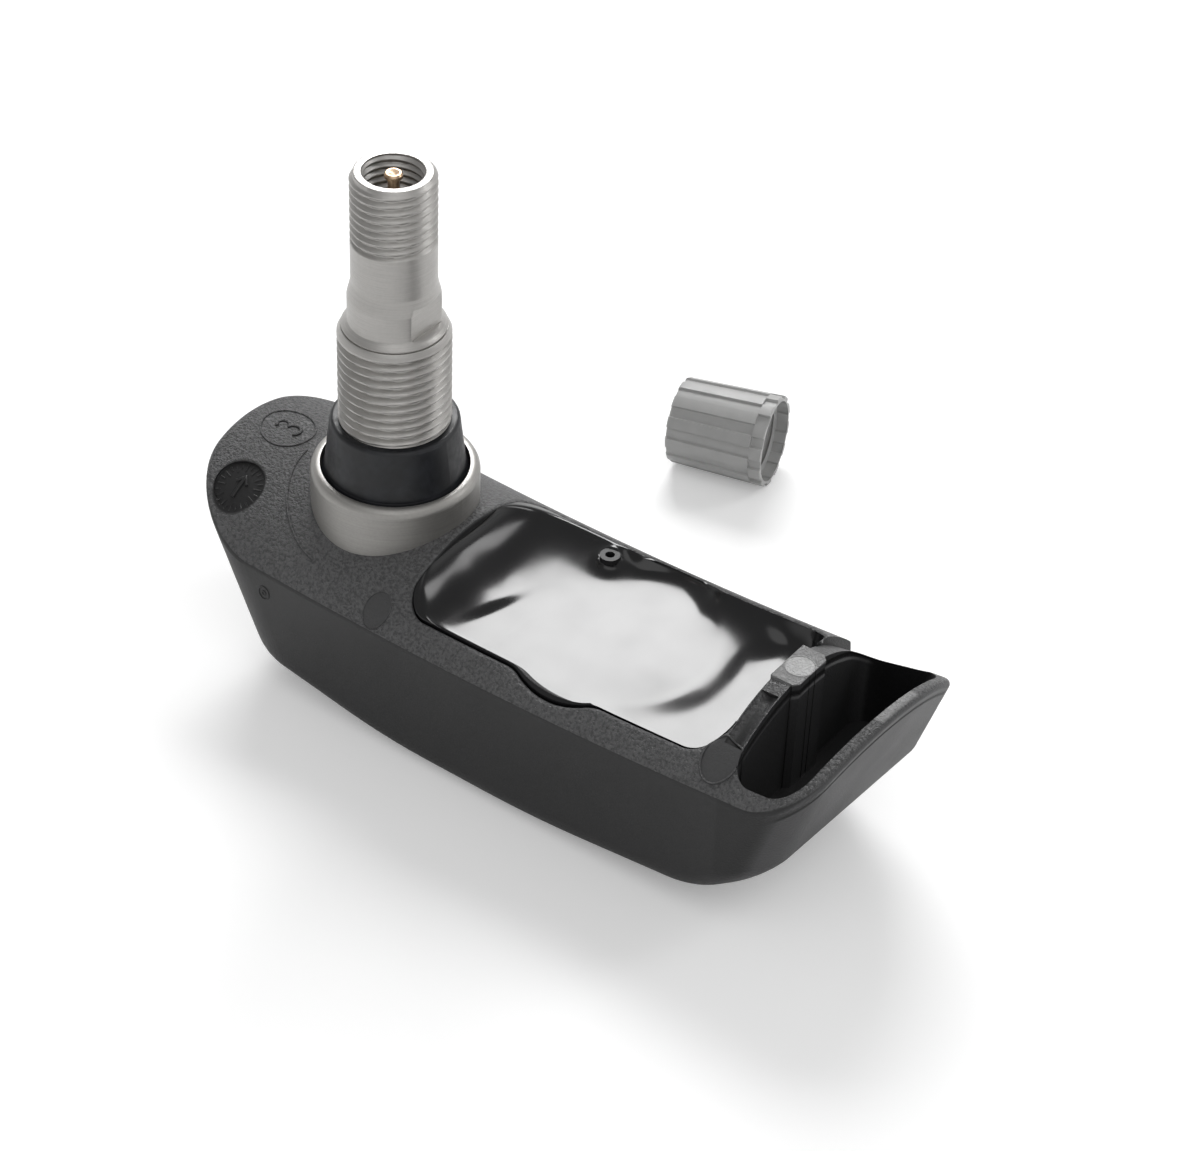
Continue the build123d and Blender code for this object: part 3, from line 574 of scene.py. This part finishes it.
def valve_stem():
    """The turned stem as one closed surface, with both outer threads and the thread in its mouth."""
    low, high = (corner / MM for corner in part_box("valve_stem"))
    foot_z = low.z
    mouth_z = high.z
    core_top_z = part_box("core_body")[1].z / MM
    ring_low, ring_high = (corner.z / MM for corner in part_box("core_ring"))
    bore_foot_z = ring_low - core_bore_len
    screw_tip_z = foot_z + screw_reach
    groove_foot_z = shoulder_z - shoulder_groove
    mouth_r = mouth_thread_d / 2
    outline = [
        (screw_bore_d / 2, foot_z),
        (stem_foot_d / 2, foot_z),
        (stem_foot_d / 2, neck_foot_z),
        (stem_neck_d / 2, neck_foot_z),
        (stem_neck_d / 2, 0.0),
        (rim_thread_d / 2, 0.0),
        (rim_thread_d / 2, rim_thread_len),
        (shoulder_d / 2, groove_foot_z),
        (shoulder_d / 2 - shoulder_groove, groove_foot_z),
        (shoulder_d / 2 - shoulder_groove, shoulder_z),
        (shoulder_d / 2, shoulder_z),
        (band_d / 2, band_foot_z),
        (band_d / 2, band_top_z),
        (mouth_r, shank_foot_z),
        (mouth_r, mouth_thread_foot_z - 0.1),
        (mouth_r, mouth_z - mouth_chamfer),
        (mouth_r - mouth_chamfer, mouth_z),
        (core_thread_d / 2 + mouth_inner_chamfer, mouth_z),
        (core_thread_d / 2, mouth_z - mouth_inner_chamfer),
        (core_thread_d / 2, ring_high),
        (core_bore_d / 2, ring_low),
        (core_bore_d / 2, bore_foot_z + (core_bore_d - air_bore_d) / 2),
        (air_bore_d / 2, bore_foot_z),
        (air_bore_d / 2, screw_tip_z),
        (screw_bore_d / 2, screw_tip_z),
    ]
    flats_top_z = band_top_z + spanner_rise
    thread_top_z = mouth_z - mouth_thread_end
    threads = [
        (0.0, rim_thread_len, rim_thread_d / 2, rim_thread_pitch, rim_thread_depth, 1),
        (mouth_thread_foot_z, thread_top_z, mouth_r, mouth_thread_pitch, mouth_thread_depth, 1),
        (core_top_z - 0.5, mouth_z, core_thread_d / 2, core_thread_pitch, core_thread_depth, -1),
    ]
    spans = [(a, b, side, pitch / rows_per_pitch) for a, b, side, pitch, depth, outward in threads]
    spans[-1] = (ring_high, mouth_z, core_thread_d / 2, core_thread_pitch / rows_per_pitch)
    rows = densified(rounded(outline, edge_round), spans)
    # the flats need a row just under and just over each of their ends
    for z in (band_foot_z, flats_top_z):
        spots = [i for i, (r, h) in enumerate(rows) if r > 3.5]
        for i in spots:
            (r1, z1), (r2, z2) = rows[i], rows[i + 1]
            if z1 < z - 0.02 < z2 and z1 < z + 0.02 < z2:
                pair = [(r1 + (r2 - r1) * (h - z1) / (z2 - z1), h) for h in (z - 0.01, z + 0.01)]
                rows[i + 1:i + 1] = pair
                break
    verts = []
    for r, z in rows:
        for j in range(turn_steps):
            turn = 2 * pi * j / turn_steps
            radius = r
            for a, b, side, pitch, depth, outward in threads:
                on_outside = r > outside_r
                if a <= z <= b and on_outside == (outward > 0) and abs(r - side) < 0.45:
                    lead = mouth_thread_lead if side == mouth_r else 0.0
                    radius = r - outward * thread_dip(z, turn, a, b, pitch, depth, lead)
            x = radius * cos(turn)
            y = radius * sin(turn)
            if band_foot_z - 0.005 <= z <= flats_top_z + 0.005 and r > outside_r:
                x = max(min(x, spanner_flats / 2), -spanner_flats / 2)
            verts.append((x, y, z))
    faces = grid_faces(len(rows), turn_steps, close_rows=True)
    piece = new_mesh("stem_threaded", verts, faces, materials["stem_aluminium"], 40)
    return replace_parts(piece, "valve_stem")


valve_stem()


# Surfaces of the housing, found by rays

housing_tree = BVHTree.FromObject(nodes["housing"], bpy.context.evaluated_depsgraph_get())
ray_start_z = 5.0


def on_housing(x, y):
    """Point and normal of the housing's top under a place in plan, in millimetres."""
    point, normal, _, _ = housing_tree.ray_cast(Vector((x, y, ray_start_z)) * MM, Vector((0, 0, -1)))
    return point / MM, normal


def crown_height(x, y):
    """Height of the crown at a place in plan."""
    along = crown_length_r - sqrt(crown_length_r ** 2 - (x - crown_low_x) ** 2)
    across = crown_r - sqrt(crown_r ** 2 - (y - crown_shift) ** 2)
    return crown_low_z + along - across


def bead(name, path, radius, closed=True, steps=8):
    """A thin raised line of plastic along points on the crown, half sunk in it."""
    verts = []
    count = len(path)
    for i, (point, normal) in enumerate(path):
        ahead = path[(i + 1) % count if closed else min(i + 1, count - 1)][0]
        behind = path[i - 1 if closed or i else 0][0]
        along = (ahead - behind).normalized()
        across = along.cross(normal).normalized()
        for k in range(steps):
            turn = 2 * pi * k / steps
            verts.append(point + across * radius * cos(turn) + normal * radius * sin(turn))
    faces = grid_faces(count, steps, close_rows=closed)
    if not closed:
        faces += [tuple(range(steps))[::-1], tuple((count - 1) * steps + k for k in range(steps))]
    return new_mesh(name, verts, faces, materials["housing_plastic"], 60)


def ring_path(x, y, radius, start=0.0, end=360.0, steps=96):
    """Places round a circle in plan, dropped on the crown."""
    full = end - start >= 360
    turns = [radians(start + (end - start) * i / (steps if full else steps - 1)) for i in range(steps)]
    return [on_housing(x + radius * cos(t), y + radius * sin(t)) for t in turns]


def stroke(name, centre, places, radius=0.13):
    """A raised line through places (right, up) around a centre, as read from the valve's side."""
    path = [on_housing(centre[0] - up, centre[1] + right) for right, up in places]
    bead(name, path, radius, closed=False)


def arc_places(centre, radius, start, end, steps=18):
    """Places along an arc, in degrees from the reader's right."""
    turns = [radians(start + (end - start) * i / (steps - 1)) for i in range(steps)]
    return [(centre[0] + radius * cos(t), centre[1] + radius * sin(t)) for t in turns]


def mould_marks():
    """Ejector rings, the disc on the pad, the ring round the collar and the number in its circle."""
    for name, (x, y, radius) in {
        "mark_number_ring": number_ring,
        "mark_front_ejector": front_ejector,
        "mark_nose_ejector": nose_ejector,
        "mark_pad_disc": pad_disc,
    }.items():
        bead(name, ring_path(x, y, radius), bead_r if radius > 1.5 else small_bead_r)
    bead("mark_collar_ring", ring_path(*collar_ring, *collar_ring_turns), bead_r, closed=False)
    upper = arc_places((0.0, 0.62), 0.6, 150, -90)
    lower = arc_places((0.0, -0.66), 0.68, 90, -150)
    stroke("mark_number", number_ring, upper + lower[1:], 0.19)


def gate_vestige():
    """The small round scar on the near wall where the plastic was fed in."""
    x, z = gate_mark
    for name, radius in gate_rings:
        path = []
        for i in range(28):
            turn = 2 * pi * i / 28
            start = Vector((x + radius * cos(turn), side_probe_y, z + 1.2 * radius * sin(turn))) * MM
            point, normal, _, _ = housing_tree.ray_cast(start, Vector((0, 1, 0)))
            path.append((point / MM, normal))
        bead(name, path, gate_bead_r)


def date_dial():
    """Raised ticks round the dial, and the arrow that points at one of them."""
    for i in range(dial_ticks):
        turn = 2 * pi * i / dial_ticks
        places = [(r * cos(turn), r * sin(turn)) for r in (tick_starts[i % 2], 2.0, 2.25)]
        stroke(f"dial_tick_{i + 1}", date_ring, places, 0.08)
    stroke("dial_arrow_shaft", date_ring, [(-1.0, 0), (0, 0), (1.0, 0)], 0.2)
    head = [(0.35, -0.6), (0.7, -0.25), (1.05, 0), (0.7, 0.25), (0.35, 0.6)]
    stroke("dial_arrow_head", date_ring, head, 0.17)


date_dial()
mould_marks()
gate_vestige()


# Potting

def soft_least(values, sharpness):
    """The least of some values, with the corners between them rounded."""
    return -log(sum(exp(-sharpness * v) for v in values)) / sharpness


def hump(distance, width):
    """Smooth bump of height 1 that fades over a width."""
    return exp(-(distance / width) ** 2)


def ease(value, low, high):
    """Smooth step from 0 at the low value to 1 at the high one."""
    share = min(max((value - low) / (high - low), 0.0), 1.0)
    return share * share * (3 - 2 * share)


def climb(x, y):
    """How high the resin may climb at a wall, up to just under the crown."""
    return crown_height(x, y) - rim_drop - potting_level


def wall_rise(x, y, near_y, far_y):
    """How far the resin is drawn up the pocket's four walls."""
    tail = ramp_tail + ramp_tail_gain * ease(y, *ramp_tail_span)
    gap = x - pocket_start
    rise = tail * log(1 + exp((ramp_len - gap) / tail)) + valve_lip[0] * exp(-gap / valve_lip[1])
    rise += nose_lip[0] * climb(pocket_end, y) * exp(-(pocket_end - x) / nose_lip[1])
    rise += near_share * climb(x, near_y) * exp(-(y - near_y) / near_creep)
    creep = far_creep + sum(change * ease(x, start, end) for change, start, end in far_creep_steps)
    return rise + far_share * climb(x, far_y) * exp(-(far_y - y) / creep)


def meniscus(x, y, near_y, far_y):
    """Rise of the resin at a place: drawn up the walls, the port and over the cell, with a dent."""
    rise = wall_rise(x, y, near_y, far_y)
    port_gap = hypot(x - port_place[0], y - port_place[1])
    rise += port_lip[0] * exp(-max(port_gap - port_r, 0.0) / port_lip[1])
    rise -= port_hole[0] * (1 - ease(port_gap, *port_hole[1:]))
    from_cell = hypot(x - cell_centre[0], y - cell_centre[1])
    step = cell_step * ease(x, *cell_step_span) * (1 - cell_step_fade * ease(-y, *cell_fade_span))
    rise += step * (1 - ease(from_cell, *cell_edge))
    rise += cell_brim[0] * step * hump(from_cell - cell_brim[1], cell_brim[2])
    along = (x - dent[0]) * dent_heading[0] + (y - dent[1]) * dent_heading[1]
    across = (x - dent[0]) * dent_heading[1] - (y - dent[1]) * dent_heading[0]
    rise += dent_step * (1 - ease(across, *dent_side)) * hump(along, dent_half_len)
    return rise


def potting_surface():
    """Cast resin over the pocket: level in the middle, drawn up the walls."""
    length = pocket_end - pocket_start - 2 * wall_clearance
    first_x = pocket_start + wall_clearance
    places = [first_x + length * (1 - cos(pi * i / potting_rows)) / 2 for i in range(potting_rows + 1)]
    shares = [(1 - cos(pi * j / potting_columns)) / 2 for j in range(potting_columns + 1)]
    top = []
    for x in places:
        start = Vector((x, 0.0, potting_level - wall_probe_drop)) * MM
        near_y, far_y = (housing_tree.ray_cast(start, Vector((0, side, 0)))[0].y / MM for side in (-1, 1))
        near_rim = near_y + wall_clearance
        far_rim = far_y - wall_clearance
        for share in shares:
            y = near_rim + (far_rim - near_rim) * share
            rise = potting_lift + meniscus(x, y, near_y, far_y)
            height = soft_least([rise, climb(x, y)], climb_sharpness)
            top.append((x, y, potting_level + height))
    low_z = potting_level - potting_skirt
    verts = top + [(x, y, low_z) for x, y, z in top]
    rows = potting_rows + 1
    columns = potting_columns + 1
    offset = rows * columns
    faces = grid_faces(rows, columns, close_columns=False)
    faces += [tuple(v + offset for v in face[::-1]) for face in faces]
    edge = list(range(columns))
    edge += [i * columns + columns - 1 for i in range(1, rows)]
    edge += [offset - 1 - j for j in range(1, columns)]
    edge += [i * columns for i in range(rows - 2, 0, -1)]
    for a, b in zip(edge, edge[1:] + edge[:1]):
        faces.append((b, a, a + offset, b + offset))
    return new_mesh("potting_surface", verts, faces, materials["potting"], 60)


potting_surface()


# Cap

def cap_outer_r(height, turn):
    """Radius of the cap's outside: stepped flutes up to a band of notches at the mouth."""
    radius = cap_end_r + (cap_mouth_r - cap_end_r) * height / cap_len
    phase = turn * cap_flutes / (2 * pi) % 1.0
    in_flute = abs(phase - 0.5) < cap_flute_share
    in_notch = abs((phase + 0.5) % 1.0 - 0.5) < cap_notch_share
    flute_top = cap_len - cap_rim_h
    if height < flute_top:
        return radius - cap_flute_depth * in_flute
    return radius - cap_notch_depth * in_notch


def valve_cap():
    """Fluted cap with a notched band round its mouth and the thread inside."""
    flute_top = cap_len - cap_rim_h
    outer = [(0.0, 0.0), (0.6, 0.0), (0.88, 0.0), (0.95, 0.03), (0.985, 0.12), (1.0, 0.3)]
    outer += [(1.0, flute_top * k / 8) for k in range(1, 8)]
    outer += [(1.0, flute_top - 0.03), (1.0, flute_top + 0.03), (1.0, cap_len - 0.08), (0.99, cap_len)]
    low_z = cap_top_t + cap_seal_h
    thread_foot = low_z + cap_thread_start
    steps = int((flute_top - cap_top_t - cap_seal_h) / (mouth_thread_pitch / 10))
    bore = [flute_top - (flute_top - low_z) * k / steps for k in range(steps + 1)]
    turns = []
    for k in range(cap_flutes):
        for share in (0.0, 0.11, 0.22, 0.26, 0.38, 0.5, 0.62, 0.74, 0.78, 0.89):
            at_step = share in (0.22, 0.26, 0.74, 0.78)
            shifts = (-cap_step_edge, cap_step_edge) if at_step else (0.0,)
            turns += [2 * pi * (k + share + shift) / cap_flutes for shift in shifts]
    rows = []
    for share, height in outer:
        rows.append([(share * cap_outer_r(height, t), height, t) for t in turns])
    inner_mouth = cap_mouth_r - cap_rim_wall
    for height in (cap_len, cap_len - 0.1, flute_top + 0.08):
        row = []
        for t in turns:
            phase = t * cap_flutes / (2 * pi) % 1.0
            pocket = cap_pocket_depth * (abs(phase - 0.5) < cap_flute_share) * (height < cap_len)
            row.append((inner_mouth + pocket, height, t))
        rows.append(row)
    for height in bore:
        row = []
        for t in turns:
            dip = thread_dip(height, t, thread_foot, flute_top, mouth_thread_pitch, cap_thread_depth)
            inside = thread_foot < height < flute_top
            row.append((cap_bore_r - (cap_thread_depth - dip) * inside, height, t))
        rows.append(row)
    for radius, height in ((cap_seat_r, low_z), (cap_seat_r, cap_top_t), (0.0, cap_top_t)):
        rows.append([(radius, height, t) for t in turns])
    taper = atan2(cap_mouth_r - cap_end_r, cap_len)
    rest_z = cad_box[0][2] / MM + cap_end_r / cos(taper)
    place = Matrix.Translation((*cap_place, rest_z)) @ Matrix.Rotation(radians(cap_heading), 4, "Z")
    place = place @ Matrix.Rotation(pi / 2 - taper, 4, "Y")
    verts = [place @ Vector((r * cos(t), r * sin(t), height)) for row in rows for r, height, t in row]
    faces = grid_faces(len(rows), len(turns))
    piece = new_mesh("cap_threaded", verts, faces, materials["cap_plastic"], 28)
    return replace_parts(welded(piece, 28), "valve_cap")


valve_cap()


# Camera, floor and light

def camera():
    """Camera at the photograph's viewpoint."""
    data = bpy.data.cameras.new("camera")
    data.lens = camera_lens
    data.sensor_width = sensor_width
    data.sensor_fit = "HORIZONTAL"
    data.clip_start = 0.01
    data.clip_end = 10.0
    view = bpy.data.objects.new("camera", data)
    bpy.context.scene.collection.objects.link(view)
    turn = Matrix.Rotation(radians(camera_azimuth), 4, "Z")
    tilt = Matrix.Rotation(radians(90 - camera_elevation), 4, "X")
    roll = Matrix.Rotation(radians(camera_roll), 4, "Z")
    view.matrix_world = Matrix.Translation(Vector(camera_place) * MM) @ turn @ tilt @ roll
    bpy.context.scene.camera = view


def floor_sheet():
    """Pale floor that the sensor stands on."""
    floor_z = cad_box[0][2] / MM
    corners = [(a * floor_half, b * floor_half, floor_z) for a, b in ((-1, -1), (1, -1), (1, 1), (-1, 1))]
    mesh = bpy.data.meshes.new("floor")
    mesh.from_pydata([Vector(c) * MM for c in corners], [], [(0, 1, 2, 3)])
    sheet = bpy.data.objects.new("floor", mesh)
    bpy.context.scene.collection.objects.link(sheet)
    s = Shader("floor_white")
    s.surface((0.93, 0.93, 0.93, 1), 0.9, Specular_IOR_Level=0.0)
    glow = s.add("Emission")
    s.feed(glow, "Strength", s.math("MULTIPLY", s.add("LightPath").outputs["Is Camera Ray"], floor_glow))
    both = s.add("AddShader")
    s.join(s.out.inputs["Surface"].links[0].from_socket, both.inputs[0])
    s.join(glow.outputs[0], both.inputs[1])
    s.join(both.outputs[0], s.out.inputs["Surface"])
    mesh.materials.append(s.material)


def softbox(name, place, width, height, power):
    """White rectangular lamp at a place, facing the housing."""
    data = bpy.data.lights.new(name, "AREA")
    data.shape = "RECTANGLE"
    data.size = width * MM
    data.size_y = height * MM
    data.energy = power
    lamp = bpy.data.objects.new(name, data)
    bpy.context.scene.collection.objects.link(lamp)
    lamp.location = Vector(place) * MM
    way = (Vector(lamp_aim) - Vector(place)).normalized()
    lamp.rotation_euler = way.to_track_quat("-Z", "Y").to_euler()


def world_light():
    """Pale surroundings round the horizon, darker overhead."""
    world = bpy.data.worlds.new("studio")
    bpy.context.scene.world = world
    world.use_nodes = True
    tree = world.node_tree
    place = tree.nodes.new("ShaderNodeTexCoord")
    height = tree.nodes.new("ShaderNodeSeparateXYZ")
    fall = tree.nodes.new("ShaderNodeMapRange")
    fall.inputs["From Min"].default_value = horizon_reach
    fall.inputs["From Max"].default_value = overhead_reach
    fall.inputs["To Min"].default_value = horizon_light
    fall.inputs["To Max"].default_value = overhead_light
    tree.links.new(place.outputs["Generated"], height.inputs[0])
    tree.links.new(height.outputs["Z"], fall.inputs["Value"])
    tree.links.new(fall.outputs[0], tree.nodes["Background"].inputs["Strength"])
    tree.nodes["Background"].inputs["Color"].default_value = (1.0, 1.0, 1.0, 1)


camera()
floor_sheet()
world_light()
softbox("key", (-400, 600, 620), 460, 360, 6.0)
softbox("front_top", (340, -400, 830), 900, 900, 2.2)
softbox("back_right", (520, 640, 600), 230, 420, 1.3)
bpy.context.scene.view_settings.view_transform = "Standard"
